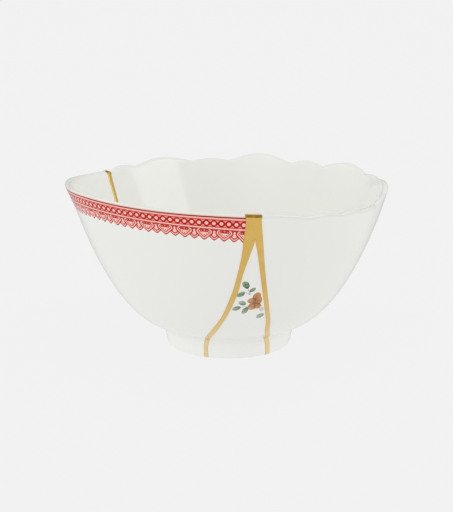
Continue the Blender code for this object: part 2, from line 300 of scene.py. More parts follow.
@dataclass(frozen=True)
class Wall:
    """The wall, foot and floor that every piece is a patch of.

    The outer skin is a cubic curve in (radius, height) from the foot to near the rim, and runs
    straight on above it. The wall thickens downwards, and its lip is half an ellipse.
    """

    rim: Rim = field(default_factory=Rim)
    start: Pair = (29.2, 9.7)
    low_handle: Pair = (45.2, 12.0)
    high_handle: Pair = (58.6, 38.6)
    top: Pair = (67.5, 67.1)
    samples: int = 400
    normal_step: float = 0.5
    rim_height: float = 69.3
    lip_rise: float = 0.9
    lip_rows: int = 7
    thick_rim: float = 2.6
    thick_foot: float = 3.6
    stretch_from: float = 44.0
    stretch_ease: float = 1.5
    row_step: float = 0.85
    lowest_row: float = 10.3
    foot_top: Pair = (29.0, 9.3)
    foot_base_radius: float = 26.9
    foot_land_width: float = 3.5
    foot_inner_top: Pair = (22.5, 7.3)
    foot_rounding: tuple[float, ...] = (2.2, 1.5, 0.9, 1.6)
    recess_height: float = 7.8
    floor_height: float = 12.3
    floor_dish: float = 1.2
    floor_radius: float = 28.8
    floor_blend: float = 24.5
    base_step: float = 1.0
    base_samples: int = 24
    pool_radius: float = 3.15

    def radius(self, height: Array) -> Array:
        """Give the outer skin's radius at a height."""
        t = np.linspace(0.0, 1.0, self.samples)[:, None]
        a, b, c, d = np.array([self.start, self.low_handle, self.high_handle, self.top])
        curve = (1 - t) ** 3 * a + 3 * (1 - t) ** 2 * t * b + 3 * (1 - t) * t**2 * c + t**3 * d
        slope = (d[0] - c[0]) / (d[1] - c[1])
        return np.interp(height, curve[:, 1], curve[:, 0]) + np.maximum(height - d[1], 0.0) * slope

    def normal(self, height: Array) -> tuple[Array, Array]:
        """Give the outer skin's outward normal, as its radial and vertical parts."""
        rise = 2 * self.normal_step
        run = self.radius(height + self.normal_step) - self.radius(height - self.normal_step)
        length = np.hypot(rise, run)
        return rise / length, -run / length

    def thickness(self, station: Array) -> Array:
        """Give the wall's thickness at a height, in proportion between the rim and the foot."""
        down = (self.rim_height - station) / (self.rim_height - self.start[1])
        return self.thick_rim + (self.thick_foot - self.thick_rim) * down

    def floor(self, radius: Array) -> Array:
        """Give the height of the dished floor inside the bowl, a parabola in the radius."""
        return self.floor_height + self.floor_dish * (radius / self.floor_radius) ** 2

    def wall_stations(self) -> Array:
        """Space the wall's rows evenly along its outer skin, from under the lip to the foot."""
        heights = np.linspace(self.rim_height - self.lip_rise, self.lowest_row, self.samples)
        skin = np.stack([self.radius(heights), heights], axis=1)
        count = math.ceil(distance_along(skin)[-1] / self.row_step)
        return read_along(skin, np.linspace(0.0, 1.0, count + 1))[:, 1]

    def base_paths(self, station: float) -> tuple[Array, Array]:
        """Draw the foot and recess outside, and the floor inside, from the lowest wall row in.

        The outer path has straight runs with rounded corners. The inner path leaves the wall
        along its own slope and lands on the floor along the floor's, as a Hermite curve.

        Args:
            station: The height of the lowest wall row.

        Returns:
            The outer and inner points, which have as many rows as each other.
        """
        radial, vertical = self.normal(station)
        begin = np.array([self.radius(station), station])
        land_inner = self.foot_base_radius - self.foot_land_width
        corners = [
            tuple(begin),
            self.foot_top,
            (self.foot_base_radius, 0.0),
            (land_inner, 0.0),
            self.foot_inner_top,
            (self.pool_radius, self.recess_height),
        ]
        outer = rounded_path(corners, self.foot_rounding, self.base_step)
        inside = begin - self.thickness(station) * np.array([radial, vertical])
        land = np.array([self.floor_blend, self.floor(self.floor_blend)])
        floor_slope = 2 * self.floor_dish * self.floor_blend / self.floor_radius**2
        span = np.linalg.norm(land - inside)
        slopes = (span * np.array([vertical, -radial]), span * np.array([-1.0, -floor_slope]))
        t = np.linspace(0.0, 1.0, self.base_samples)[:, None]
        blend = hermite((inside, land), slopes, t)
        radii = np.linspace(self.floor_blend, self.pool_radius, self.base_samples)[1:]
        inner = np.concatenate([blend, np.stack([radii, self.floor(radii)], axis=1)])
        along = distance_along(outer)
        return outer, read_along(inner, along / along[-1])

    def rows(self) -> Rows:
        """List the rows of the lattice, from the top of the lip to the edge of the gold pool.

        On the lip, at an angle a from the outer skin to the top, the outer point is half the
        thickness times (1 - cos a) deep, and the lip's rise times (1 - sin a) under the rim.
        """
        angle = np.linspace(90.0, 0.0, self.lip_rows)[:-1]
        lip_station = self.rim_height - self.lip_rise * (1 - np.sin(np.radians(angle)))
        lip_depth = self.thick_rim / 2 * (1 - np.cos(np.radians(angle)))
        wall_station = self.wall_stations()
        outer, inner = self.base_paths(wall_station[-1])
        station = np.concatenate([lip_station, wall_station])
        depth = np.concatenate([lip_depth, np.zeros_like(wall_station)])
        lip_thick = np.full_like(lip_station, self.thick_rim)
        thick = np.concatenate([lip_thick, self.thickness(wall_station)])
        past_land = np.arange(len(outer)) > np.argmin(outer[:, 1])
        base_station = np.where(past_land, 0.0, outer[:, 1])
        return Rows(
            station=np.concatenate([station, base_station[1:]]),
            outer_depth=depth,
            inner_depth=thick - depth,
            outer=outer[1:],
            inner=inner[1:],
            wall_count=len(station),
        )

    def skins(self, rows: Rows, azimuth: Array) -> tuple[Array, Array]:
        """Place the outer and inner points of every row, as radius and height.

        A wall row rises with the rim by a share, its stretch, that eases from nothing at the
        middle of the wall to all at the lip.

        Args:
            rows: The rows of the lattice.
            azimuth: The azimuth of each row's point on each column line.

        Returns:
            Two arrays of rows, lines and (radius, height).
        """
        station = rows.station[: rows.wall_count, None]
        around = azimuth[: rows.wall_count]
        stretch = (station - self.stretch_from) / (self.rim_height - self.stretch_from)
        stretch = np.maximum(stretch, 0.0) ** self.stretch_ease
        height = station + self.rim.lift(around) * stretch
        radius = self.radius(height) + self.rim.spread(around, height, stretch)
        radial, vertical = self.normal(station)
        vertical = vertical * (1 - stretch)
        skins = []
        for depth, base in ((rows.outer_depth, rows.outer), (rows.inner_depth, rows.inner)):
            depth = depth[:, None]
            wall = np.stack([radius - depth * radial, height - depth * vertical], axis=-1)
            flat = np.repeat(base[:, None, :], azimuth.shape[1], axis=1)
            skins.append(np.concatenate([wall, flat]))
        return skins[0], skins[1]

    def below_rim(self, rows: Rows, azimuth: Array) -> Array:
        """Give how far each point lies below the rim, along the skin and without the lip."""
        bare = replace(rows, outer_depth=np.zeros_like(rows.outer_depth))
        return distance_along(self.skins(bare, azimuth)[0])


@dataclass(frozen=True)
class Seam:
    """One line of gold, as (height, azimuth, width) keys on the outer skin.

    Its two edges wander a little, as brushed gold does, and spread where they go over the lip.
    Each is moved by the sum of a few waves, given as (slowness, size): size times the sine of
    wave_rate times the distance below the rim over the slowness.
    """

    keys: tuple[Key, ...]
    phase: float
    waves: tuple[Pair, ...] = ((8.3, 0.09), (3.7, 0.05), (1.9, 0.025))
    wave_rate: float = 0.36
    lip_spread: float = 0.5
    lip_reach: float = 0.9

    def edge(self, wall: Wall, rows: Rows, side: Side) -> Array:
        """Give the azimuth of one edge in every row, measured across the seam at its slant.

        Args:
            wall: The wall that the seam runs down.
            rows: The rows of the lattice.
            side: Which of the two edges.

        Returns:
            One azimuth for each row.
        """
        centre = ease_through(self.keys, rows.station, 1)
        count = rows.wall_count
        radius = np.concatenate([wall.radius(rows.station[:count]), rows.outer[:, 0]])
        height = np.concatenate([rows.station[:count], rows.outer[:, 1]])
        path = np.stack([radius, height], axis=1)
        down = distance_along(path)
        wander = sum(
            size * np.sin(self.wave_rate * down / slowness + self.phase * number + side.value)
            for number, (slowness, size) in enumerate(self.waves, start=1)
        )
        spread = self.lip_spread * np.exp(-((down / self.lip_reach) ** 2))
        half = ease_through(self.keys, rows.station, 2) / 2 + wander + spread
        along = np.hypot(*np.gradient(path, axis=0).T)
        across = radius * np.radians(np.gradient(centre))
        slant = along / np.hypot(along, across)
        return centre + side.value * np.degrees(half / (radius * slant))


LEFT_SEAM = Seam(
    keys=(
        (70.0, 6.8, 3.3),
        (60.0, 6.8, 4.3),
        (54.0, 5.9, 3.1),
        (47.5, 4.55, 2.2),
        (34.5, 1.6, 2.2),
        (23.0, -3.7, 1.9),
        (13.0, -12.6, 2.2),
        (8.5, -18.2, 1.9),
        (0.0, -20.9, 2.0),
    ),
    phase=0.4,
)
RIGHT_SEAM = Seam(
    keys=(
        (70.0, 8.6, 3.25),
        (60.0, 10.1, 2.9),
        (54.0, 11.2, 2.4),
        (47.5, 12.4, 2.1),
        (34.5, 15.5, 1.9),
        (23.0, 19.7, 1.9),
        (13.0, 25.4, 2.3),
        (8.5, 32.7, 2.3),
        (0.0, 37.9, 2.3),
    ),
    phase=2.1,
)
BACK_SEAM = Seam(
    keys=(
        (70.0, -122.8, 2.5),
        (56.0, -122.2, 2.3),
        (40.0, -120.5, 2.1),
        (25.0, -123.0, 2.0),
        (13.0, -128.0, 1.9),
        (0.0, -134.0, 1.9),
    ),
    phase=3.7,
)


def seam_edges(wall: Wall, rows: Rows) -> list[tuple[Array, Array]]:
    """Give the two edges of the left, right and back seams in every row."""
    seams = (LEFT_SEAM, RIGHT_SEAM, BACK_SEAM)
    return [tuple(seam.edge(wall, rows, side) for side in Side) for seam in seams]


@dataclass
class Patch:
    """A solid made of some of the lattice's cells.

    Cells lie between two rows and two column lines. Each filled cell gives a face on the outer
    skin and one on the inner, and a wall through the thickness stands wherever a filled cell
    has an empty neighbour. Points that fall together, as at a tip, are merged.
    """

    name: str
    outer: Array
    inner: Array
    azimuth: Array
    filled: Array
    outer_map: Array
    inner_map: Array
    closed: bool = False
    weld: float = 0.002
    sharp_angle: float = 38.0

    def corners(self) -> Array:
        """Give every point in space, outer skin first, as (r sin a, -r cos a, z) in metres."""
        turn = np.radians(self.azimuth)
        around = np.stack([np.sin(turn), -np.cos(turn)], axis=-1)
        skins = [
            np.concatenate([around * skin[..., :1], skin[..., 1:]], axis=-1)
            for skin in (self.outer, self.inner)
        ]
        return np.concatenate([skin.reshape(-1, 3) for skin in skins]) * MM

    def faces(self) -> Array:
        """List the faces of both skins and of the walls between them, as four corners each."""
        lines = self.azimuth.shape[1]
        inner_start = self.azimuth.size
        i, j = np.nonzero(self.filled)
        a, b = i * lines + j, i * lines + (j + 1) % lines
        c, d = a + lines, b + lines
        skins = [np.stack([a, c, d, b], axis=1), np.stack([a, b, d, c], axis=1) + inner_start]
        walls = [*self.row_walls(), *self.line_walls()]
        return np.concatenate(skins + walls)

    def row_walls(self) -> list[Array]:
        """Close the patch where a filled cell has an empty one above or below it."""
        lines, inner_start = self.azimuth.shape[1], self.azimuth.size
        empty = np.zeros((1, self.filled.shape[1]), bool)
        above = np.concatenate([empty, self.filled])
        below = np.concatenate([self.filled, empty])
        walls = []
        for needed, order in ((below & ~above, 1), (above & ~below, -1)):
            i, j = np.nonzero(needed)
            inside = i > 0
            i, j = i[inside], j[inside]
            start, end = i * lines + j, i * lines + (j + 1) % lines
            face = np.stack([start, end, end + inner_start, start + inner_start], axis=1)
            walls.append(face[:, ::order])
        return walls

    def line_walls(self) -> list[Array]:
        """Close the patch where a filled cell has an empty one beside it."""
        lines, inner_start = self.azimuth.shape[1], self.azimuth.size
        if self.closed:
            left, right = np.roll(self.filled, 1, axis=1), self.filled
        else:
            empty = np.zeros((self.filled.shape[0], 1), bool)
            left = np.concatenate([empty, self.filled], axis=1)
            right = np.concatenate([self.filled, empty], axis=1)
        walls = []
        for needed, order in ((right & ~left, 1), (left & ~right, -1)):
            i, j = np.nonzero(needed)
            start, end = i * lines + j, (i + 1) * lines + j
            face = np.stack([start, start + inner_start, end + inner_start, end], axis=1)
            walls.append(face[:, ::order])
        return walls

    def build(self) -> bpy.types.Object:
        """Make the patch's object, with its surface map in a UV layer."""
        faces = self.faces()
        used, faces = np.unique(faces, return_inverse=True)
        faces = faces.reshape(-1, 4)
        flat_maps = [each.reshape(-1, 2) for each in (self.outer_map, self.inner_map)]
        mesh = bpy.data.meshes.new(self.name)
        mesh.from_pydata(self.corners()[used].tolist(), [], faces.tolist())
        layer = mesh.uv_layers.new(name=SURFACE_MAP)
        layer.data.foreach_set("uv", np.concatenate(flat_maps)[used][faces.ravel()].ravel())
        self.merge_doubles(mesh)
        mesh.shade_smooth()
        mesh.set_sharp_from_angle(angle=math.radians(self.sharp_angle))
        return added(self.name, mesh)

    def merge_doubles(self, mesh: bpy.types.Mesh) -> None:
        """Merge points that fall together, and drop faces without area and bare edges."""
        body = bmesh.new()
        body.from_mesh(mesh)
        bmesh.ops.remove_doubles(body, verts=body.verts, dist=self.weld * MM)
        bmesh.ops.dissolve_degenerate(body, edges=body.edges, dist=self.weld * MM)
        bare = [edge for edge in body.edges if edge.is_wire]
        bmesh.ops.delete(body, geom=bare, context="EDGES")
        bmesh.ops.recalc_face_normals(body, faces=body.faces)
        body.to_mesh(mesh)
        body.free()


class Value:
    """A number that varies over a surface: a socket, with arithmetic that adds Math nodes."""

    def __init__(self, nodes: "Nodes", socket: bpy.types.NodeSocket) -> None:
        """Hold the socket and the node tree it belongs to."""
        self.nodes = nodes
        self.socket = socket

    def math(self, operation: str, *others: "Value | float", clamp: bool = False) -> "Value":
        """Put this value and others through one Math node.

        Args:
            operation: The Math node's operation.
            others: Its second and third operands.
            clamp: Whether the result is kept from 0 to 1.

        Returns:
            The node's result.
        """
        return self.nodes.math(operation, self, *others, clamp=clamp)

    def __add__(self, other: "Value | float") -> "Value":
        """Give self + other."""
        return self.math("ADD", other)

    __radd__ = __add__

    def __sub__(self, other: "Value | float") -> "Value":
        """Give self - other."""
        return self.math("SUBTRACT", other)

    def __rsub__(self, other: float) -> "Value":
        """Give other - self."""
        return self.nodes.math("SUBTRACT", other, self)

    def __mul__(self, other: "Value | float") -> "Value":
        """Give self times other."""
        return self.math("MULTIPLY", other)

    __rmul__ = __mul__

    def __truediv__(self, other: "Value | float") -> "Value":
        """Give self divided by other."""
        return self.math("DIVIDE", other)

    def __pow__(self, other: float) -> "Value":
        """Give self to a power."""
        return self.math("POWER", other)

    def __abs__(self) -> "Value":
        """Give self without its sign."""
        return self.math("ABSOLUTE")

    def least(self, other: "Value | float") -> "Value":
        """Give the smaller of the two."""
        return self.math("MINIMUM", other)

    def most(self, other: "Value | float") -> "Value":
        """Give the larger of the two."""
        return self.math("MAXIMUM", other)

    def hypot(self, other: "Value | float") -> "Value":
        """Give the square root of the sum of both squares."""
        return (self**2.0 + other**2.0).math("SQRT")

    def folded(self, period: float) -> "Value":
        """Give the distance to the nearest multiple of a period, |x - p round(x / p)|."""
        return abs(self - (self / period).math("ROUND") * period)

    def inside(self, limit: "Value | float", soft: float) -> "Value":
        """Give 1 where self is under a limit and 0 where it is over, with a soft edge between."""
        return ((limit - self) / soft).math("ADD", 0.5, clamp=True)


class Nodes:
    """A node tree written as expressions."""

    def __init__(self, tree: bpy.types.NodeTree) -> None:
        """Hold the tree."""
        self.tree = tree

    def node(
        self,
        kind: str,
        settings: dict[str, Any] | None = None,
        sockets: dict[str | int, Any] | None = None,
    ) -> bpy.types.Node:
        """Add a node.

        Args:
            kind: The node's type.
            settings: Its own settings, set first.
            sockets: A value, a Value or a socket to link for each input, by name or number.

        Returns:
            The node.
        """
        node = self.tree.nodes.new(kind)
        for name, setting in (settings or {}).items():
            setattr(node, name, setting)
        for name, given in (sockets or {}).items():
            self.feed(node.inputs[name], given)
        return node

    def feed(self, socket: bpy.types.NodeSocket, given: Any) -> None:
        """Link a Value or a socket to an input, or set the input to anything else."""
        given = given.socket if isinstance(given, Value) else given
        if isinstance(given, bpy.types.NodeSocket):
            self.tree.links.new(given, socket)
        else:
            socket.default_value = given

    def math(self, operation: str, *operands: Value | float, clamp: bool = False) -> Value:
        """Add a Math node and give its result."""
        settings = {"operation": operation, "use_clamp": clamp}
        node = self.node("ShaderNodeMath", settings, dict(enumerate(operands)))
        return Value(self, node.outputs[0])

    def mix(self, share: Value | float, first: Any, second: Any) -> bpy.types.NodeSocket:
        """Mix two colours, given as sockets or as numbers, by a share of the second.

        The Mix node has sockets for each kind of data. These are the numbers of the colours'.
        """
        factor, a, b, result = 0, 6, 7, 2
        sockets = {factor: share, a: opaque(first), b: opaque(second)}
        return self.node("ShaderNodeMix", {"data_type": "RGBA"}, sockets).outputs[result]

    def part(self, vector: bpy.types.NodeSocket, axis: str) -> Value:
        """Give one coordinate of a vector."""
        parts = self.node("ShaderNodeSeparateXYZ", sockets={"Vector": vector})
        return Value(self, parts.outputs[axis])


@dataclass(frozen=True)
class Cloud:
    """A noise in Object coordinates, with patches of a size, that runs from low to high."""

    size: float
    low: float = 0.0
    high: float = 1.0
    detail: float = 2.0


@dataclass(frozen=True)
class Tint:
    """A colour that covers a share of another where a value is under a limit, with a soft edge."""

    colour: Triple
    limit: float
    soft: float
    share: float = 1.0


class Paint(Nodes):
    """The nodes of one material: a Principled shader, and the coordinates that feed it."""

    def __init__(self, name: str) -> None:
        """Make a material and read its coordinates: how far across and down its surface map."""
        self.material = bpy.data.materials.new(name)
        self.material.use_nodes = True
        super().__init__(self.material.node_tree)
        self.shader = self.tree.nodes["Principled BSDF"]
        self.object_place = self.node("ShaderNodeTexCoord").outputs["Object"]
        surface = self.node("ShaderNodeUVMap", {"uv_map": SURFACE_MAP}).outputs["UV"]
        self.across = self.part(surface, "X")
        self.down = self.part(surface, "Y")

    def noise(self, size: float, detail: float = 2.0, stretch: Triple = (1.0, 1.0, 1.0)) -> Value:
        """Give a noise from 0 to 1 in Object coordinates.

        Args:
            size: How wide its patches are, in millimetres.
            detail: How many finer octaves it has.
            stretch: How many times finer it is along each axis.

        Returns:
            The noise.
        """
        scale = tuple(part / (size * MM) for part in stretch)
        sockets = {"Vector": self.object_place, "Scale": scale}
        placed = self.node("ShaderNodeMapping", sockets=sockets)
        sockets = {"Vector": placed.outputs["Vector"], "Scale": 1.0, "Detail": detail}
        return Value(self, self.node("ShaderNodeTexNoise", sockets=sockets).outputs["Fac"])

    def cloud(self, cloud: Cloud) -> Value:
        """Give a cloud's noise, (high - low) times the noise plus low."""
        return self.noise(cloud.size, cloud.detail) * (cloud.high - cloud.low) + cloud.low

    def tinted(self, colour: Any, tint: Tint, value: Value) -> bpy.types.NodeSocket:
        """Lay a tint over a colour where the value is under the tint's limit."""
        return self.mix(value.inside(tint.limit, tint.soft) * tint.share, colour, tint.colour)

    def bump(self, height: Value, depth: float, under: Any = None) -> bpy.types.NodeSocket:
        """Turn a height from 0 to 1 into a normal.

        Args:
            height: The height.
            depth: How deep it goes, in millimetres.
            under: The normal of a coarser bump that this one lies on.

        Returns:
            The normal.
        """
        sockets = {"Strength": 1.0, "Distance": depth * MM, "Height": height}
        if under is not None:
            sockets["Normal"] = under
        return self.node("ShaderNodeBump", sockets=sockets).outputs["Normal"]

    def shade(self, **inputs: Any) -> bpy.types.Material:
        """Set or link the shader's inputs, named with _ for a space, and give the material."""
        for name, given in inputs.items():
            self.feed(self.shader.inputs[name.replace("_", " ")], given)
        return self.material


def opaque(colour: Any) -> Any:
    """Give a colour of three numbers its alpha of 1, and leave anything else alone."""
    return (*colour, 1.0) if isinstance(colour, tuple) and len(colour) == 3 else colour


@dataclass(frozen=True)
class Glaze:
    """Glossy white porcelain glaze over a faintly uneven body, with painted light that whitens it
    low down.

    A painted shade makes it greyer over the lip, and the land that the foot stands on is left bare.
    """

    white: Triple = (0.866, 0.87, 0.821)
    cool: Triple = (0.851, 0.861, 0.825)
    # Painted light: the glaze is painted whiter low down, standing in for light from the floor.
    painted_light_low_down: Tint = Tint((0.905, 0.91, 0.875), 9.0, 6.0)
    # Painted shade: the glaze is painted greyer near the top of the lip.
    lip: Tint = Tint((0.79, 0.79, 0.745), 1.3, 0.8)
    bisque: Triple = (0.70, 0.66, 0.58)
    bisque_share: float = 0.75
    grit: Triple = (0.42, 0.38, 0.32)
    grit_size: float = 0.35
    roughness: float = 0.07
    roughness_spread: float = 0.04
    bisque_roughness: float = 0.75
    land_height: float = 0.35
    land_fade: float = 0.15
    land_wobble: Cloud = Cloud(2.5, -0.25, 0.25)
    patch_size: float = 26.0
    ripple_size: float = 9.0
    ripple_depth: float = 0.035
    peel_size: float = 1.3
    peel_depth: float = 0.0022
    ior: float = 1.52
    gloss: float = 0.36

    def paint_body(self, paint: Paint) -> tuple[bpy.types.NodeSocket, Value]:
        """Paint the glaze and the bare land.

        Args:
            paint: The material to paint.

        Returns:
            The colour, and how bare the surface is, from 0 to 1.
        """
        patches = paint.noise(self.patch_size, detail=3.0)
        colour = paint.mix(patches, self.white, self.cool)
        height = paint.part(paint.object_place, "Z") / MM
        # Painted light whitens the glaze low down.
        colour = paint.tinted(colour, self.painted_light_low_down, height)
        # Painted shade greys the glaze over the lip.
        colour = paint.tinted(colour, self.lip, abs(paint.down))
        wobble = paint.cloud(self.land_wobble)
        bare = (height + wobble).inside(self.land_height, self.land_fade)
        clay = paint.mix(paint.noise(self.grit_size, detail=3.0), self.bisque, self.grit)
        clay = paint.mix(self.bisque_share, clay, self.bisque)
        return paint.mix(bare, colour, clay), bare

    def finish(self, paint: Paint, colour: bpy.types.NodeSocket, bare: Value) -> bpy.types.Material:
        """Give the surface its gloss and its faint waviness, and the land its dry grain."""
        ripple = paint.bump(paint.noise(self.ripple_size), self.ripple_depth)
        peel = paint.bump(paint.noise(self.peel_size), self.peel_depth, ripple)
        roughness = paint.noise(self.patch_size) * self.roughness_spread + self.roughness
        roughness = roughness + bare * (self.bisque_roughness - self.roughness)
        return paint.shade(
            Base_Color=colour,
            Roughness=roughness,
            Normal=peel,
            IOR=self.ior,
            Specular_IOR_Level=self.gloss,
        )

    def material(self, name: str) -> bpy.types.Material:
        """Make the plain glaze."""
        paint = Paint(name)
        return self.finish(paint, *self.paint_body(paint))


@dataclass(frozen=True)
class LaceBorder:
    """A red lace border: a line, a trellis of discs, a ribbon, and hearts with petals between.

    Distances are down from the rim, and along it from the gold. A heart is the shape under a
    rounded corner turned 45 degrees, so that its foot is a right angle, and what it holds
    follows that shape's distance inwards. A dot is given as how far along and how far down it
    lies from the middle of its motif, and its radius. The crown is a heart's half width and
    height there, and its distance from the outline. The drop's end is how far down its middle
    lies, how much it is squashed, and its radius.
    """

    red: Triple = (0.47, 0.0, 0.0)
    line_red: Triple = (0.22, 0.004, 0.003)
    pink: Triple = (1.0, 0.34, 0.265)
    pale: Triple = (1.0, 0.62, 0.54)
    soft: float = 0.08
    line: Pair = (1.02, 1.58)
    blush: Pair = (0.6, 1.4)
    stripe: Pair = (1.4, 2.3)
    trellis: Pair = (2.3, 5.78)
    trellis_middle: float = 4.05
    disc_place: float = -0.6
    disc_period: float = 2.87
    disc: Triple = (0.0, 0.0, 0.72)
    disc_eye: Triple = (0.0, 0.0, 0.14)
    eye_share: float = 0.3
    wedge_gap: float = 0.52
    wedge_reach: float = 1.4
    wedge_seed: Triple = (0.0, 1.15, 0.16)
    seed_share: float = 0.6
    ribbon: Pair = (5.78, 6.38)
    hearts_top: float = 6.75
    heart_period: float = 8.0
    heart_place: float = 0.15
    heart_length: float = 5.25
    heart_shoulder: float = 2.95
    heart_rounding: float = 1.4
    heart_band: Pair = (-0.93, -0.4)
    fan_depth: float = -1.25
    fan_edge: float = 0.55
    crown: Triple = (1.7, 1.3, -0.86)
    buds: tuple[Triple, ...] = ((0.0, 0.5, 0.34), (1.1, 0.72, 0.22))
    bud_share: float = 0.8
    seeds: tuple[Triple, ...] = (
        (0.0, 2.5, 0.22),
        (0.85, 1.95, 0.2),
        (1.65, 1.35, 0.17),
        (0.42, 3.15, 0.16),
    )
    blunt: float = 0.45
    petal_length: float = 5.2
    petal_gap: float = 0.12
    chevron: Pair = (1.15, 0.5)
    chevron_paleness: float = 0.4
    drop_slope: float = 0.36
    drop_top: float = 0.2
    drop_end: Triple = (1.75, 0.75, 1.0)
    deeper: float = 1.06
    tapers: float = 0.0033
    shallowest: float = 0.96
    ink_share: Cloud = Cloud(3.0, 0.94, 1.04)
    blush_share: Cloud = Cloud(1.2, 0.36, 0.54)
    light_share: float = 0.95

    def band(self, value: Value, limits: Pair) -> Value:
        """Give 1 where a value lies between two limits, with soft edges."""
        return value.inside(limits[1], self.soft) - value.inside(limits[0], self.soft)

    def heart(self, along: Value, below: Value) -> Value:
        """Give the distance from a heart's outline, negative inside.

        With a = (x + y) / sqrt 2 and b = (x - y) / sqrt 2 the heart's right half lies under a
        limit in each, and its corner is rounded: the distance is the length of what exceeds
        the two limits less the rounding, plus the larger of the two where both are negative,
        less the rounding. The foot is blunted.
        """
        root = math.sqrt(2.0)
        along = self.blunted(along)
        a = (along + below) / root - (self.heart_length / root - self.heart_rounding)
        b = (along - below) / root - (self.heart_shoulder / root - self.heart_rounding)
        over = a.most(0.0).hypot(b.most(0.0))
        return over + a.most(b).least(0.0) - self.heart_rounding

    def blunted(self, along: Value) -> Value:
        """Round the foot of a right angle off: sqrt(x^2 + r^2) stands for x."""
        return along.hypot(self.blunt)

    def dots(self, along: Value, below: Value, *places: Triple) -> Value:
        """Give soft dots at some places, each with its radius."""
        far = [((along - x).hypot(below - y), radius) for x, y, radius in places]
        return reduce(Value.most, [away.inside(radius, self.soft) for away, radius in far])

    def trellis_lights(self, across: Value, down: Value) -> tuple[Value, Value]:
        """Give the light parts of the trellis: pink wedges between discs, and the pale discs."""
        along = (across - self.disc_place).folded(self.disc_period)
        middle = down - self.trellis_middle
        beside = self.disc_period / 2 - along
        off = abs(middle)
        disc = self.dots(along, middle, self.disc)
        eye = self.dots(along, middle, self.disc_eye)
        wedge = (beside - off).inside(-self.wedge_gap, self.soft)
        wedge = wedge * off.inside(self.wedge_reach, self.soft)
        seed = self.dots(beside, off, self.wedge_seed)
        return wedge * (1.0 - seed * self.seed_share), disc * (1.0 - eye * self.eye_share)

    def heart_lights(self, along: Value, below: Value, depth: Value) -> tuple[Value, Value]:
        """Give a heart's pink band, and its pale fan with seeds, under a red crown with buds."""
        bands = self.band(depth, self.heart_band)
        fan = depth.inside(self.fan_depth, self.soft)
        sides = zip((along, below, depth), self.crown)
        crown = reduce(Value.__mul__, [value.inside(limit, self.soft) for value, limit in sides])
        buds = self.dots(along, below, *self.buds) * crown * self.bud_share
        open_part = (1.0 - crown) * (1.0 - self.dots(along, below, *self.seeds))
        return (bands * open_part).most(buds), fan.most(bands * self.fan_edge) * open_part

    def petal_lights(self, beside: Value, below: Value) -> tuple[Value, Value]:
        """Give the pink chevron under each petal between the hearts, and the pale drop in it.

        The drop is a slim wedge that widens downwards, ended by an ellipse.
        """
        limits = tuple(self.petal_length - each for each in self.chevron)
        chevron = self.band(self.blunted(beside) + below, limits)
        slim = beside - (below * self.drop_slope + self.drop_top)
        middle, squash, radius = self.drop_end
        round_end = beside.hypot((below - middle) * squash) - radius
        return chevron, slim.most(round_end).inside(0.0, self.soft)

    def masks(self, paint: Paint, down: Value) -> tuple[Value, Value, Value]:
        """Give where the border is red, where it is pink over that, and where it is pale."""
        below = down - self.hearts_top
        along = (paint.across - self.heart_place).folded(self.heart_period)
        beside = self.heart_period / 2 - along
        depth = self.heart(along, below)
        heart = depth.inside(0.0, self.soft)
        between = 1.0 - depth.inside(self.petal_gap, self.soft)
        hanging = 1.0 - below.inside(0.0, self.soft)
        petal = (self.blunted(beside) + below).inside(self.petal_length, self.soft)
        strips = self.band(down, (self.trellis[0], self.hearts_top))
        red = strips.most(heart.most(petal) * hanging)
        trellis = self.band(down, self.trellis)
        wedges, discs = self.trellis_lights(paint.across, down)
        bands, fan = self.heart_lights(along, below, depth)
        chevron, drop = self.petal_lights(beside, below)
        pink = (wedges * trellis).most((bands * heart).most(chevron * between) * hanging)
        drop = drop.most(chevron * self.chevron_paleness)
        pale = (discs * trellis).most((fan * heart).most(drop * between) * hanging)
        pale = pale.most(self.band(down, self.ribbon))
        return red, pink, pale

    def material(self, name: str, glaze: Glaze) -> bpy.types.Material:
        """Make the glaze with the border in it, as an ink of slightly uneven strength."""
        paint = Paint(name)
        colour, bare = glaze.paint_body(paint)
        depth = (paint.across * self.tapers + self.deeper).most(self.shallowest)
        down = paint.down / depth
        red, pink, pale = self.masks(paint, down)
        blush = self.band(down, self.blush) * paint.cloud(self.blush_share)
        layers = (
            (blush, self.pink),
            (self.band(down, self.stripe), paint.mix(0.5, self.pink, self.pale)),
            (self.band(down, self.line), self.line_red),
            ((red * paint.cloud(self.ink_share)).least(1.0), self.red),
            (pink * self.light_share, self.pink),
            (pale * self.light_share, self.pale),
        )
        for share, ink in layers:
            colour = paint.mix(share, colour, ink)
        return glaze.finish(paint, colour, bare)


@dataclass(frozen=True)
class Stroke:
    """One brush stroke of the flower: a leaf or a petal, from its root out to its tip."""

    root: Pair
    angle: float
    length: float
    width: float
    light: Triple
    dark: Triple
    strength: float = 0.9


PALE_GREEN = (0.22, 0.34, 0.18)
DEEP_GREEN = (0.03, 0.085, 0.02)
GREY_GREEN = (0.32, 0.43, 0.29)
RUST = (0.62, 0.29, 0.10)
DARK_RUST = (0.26, 0.085, 0.02)


